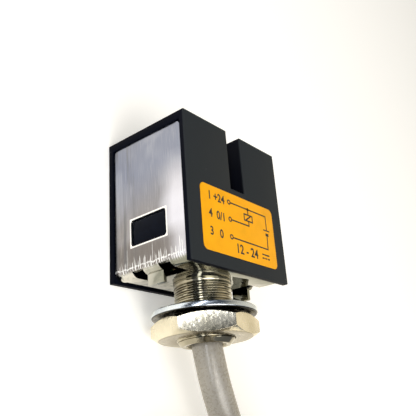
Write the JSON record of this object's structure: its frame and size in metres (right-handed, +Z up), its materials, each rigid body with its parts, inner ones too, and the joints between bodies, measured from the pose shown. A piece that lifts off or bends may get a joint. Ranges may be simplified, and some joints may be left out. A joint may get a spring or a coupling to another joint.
{
  "type": "photoelectric sensor",
  "caption": "Fork-type photoelectric sensor: square slotted housing closed by a bent metal bracket, on a hollow threaded stem with nut and washer, pre-wired with a coiled cable.",
  "frame": {"origin": "on the table under the middle of the sensor, its cable left out: the sensor lies on the side face opposite the label", "axes": "+Y along the stem's axis from the cable towards the mouth of the slot, +X from the front plate with the indicator window towards the rear plate, +Z up through the labelled side"},
  "size_m": [0.0578, 0.1622, 0.0346],
  "materials": {
    "housing": "fine satin moulding",
    "bracket": "bright brushed stainless sheet",
    "window": "dark smoked, glossy",
    "label": "printed amber film",
    "stem": "bright nickel plate, machined thread",
    "washer": "bright zinc plate",
    "nut": "nickel plate",
    "potting": "cast resin",
    "jacket": "grey PVC jacket, satin",
    "board": "green solder mask",
    "clear_lamp": "clear epoxy",
    "dark_lamp": "dark epoxy",
    "lens": "dark infrared-pass lens",
    "red_lamp": "tinted red epoxy",
    "light_guide": "clear moulding",
    "package": "moulded epoxy",
    "can": "sleeved aluminium can",
    "ceramic": "fired ceramic",
    "core_brown": "brown PVC",
    "core_black": "black PVC",
    "core_blue": "blue PVC",
    "tie": "black nylon",
    "tinned": "tinned copper strands"
  },
  "bodies": {
    "sensor": {"housing": "housing", "bracket": "bracket", "indicator_window": "window", "label": "label", "stem": "stem", "stem_locknut": "stem", "potting_sleeve": "potting", "cable_entry": "jacket", "circuit_board": "board", "emitter": "clear_lamp", "receiver": "dark_lamp", "emitter_lens": "lens", "receiver_lens": "lens", "indicator_led": "red_lamp", "light_guide": "light_guide", "regulator": "package", "comparator": "package", "output_transistor": "package", "filter_capacitor": "can", "protection_diode": "package", "chip_resistors": "package", "chip_capacitors": "ceramic", "core_brown": "core_brown", "core_black": "core_black", "core_blue": "core_blue", "cable": "jacket", "cable_hank": "jacket", "hank_ties": "tie", "lead_brown": "core_brown", "lead_black": "core_black", "lead_blue": "core_blue", "lead_ends": "tinned"},
    "washer": {"flat_washer": "washer"},
    "nut": {"hex_nut": "nut"}
  },
  "joints": [
    {"name": "washer_slide", "type": "slide", "parent": "sensor", "child": "washer", "axis": [0, 1, 0], "range_m": [-0.001, 0.005]},
    {"name": "nut_turn", "type": "hinge", "parent": "washer", "child": "nut", "pos_m": [0, -0.01855, 0.011], "axis": [0, 1, 0], "range_deg": [-365, 1805]}
  ],
  "couplings": [
    {"joint": "nut_turn", "follows": "washer_slide", "rad_per_m": 6283.2}
  ]
}
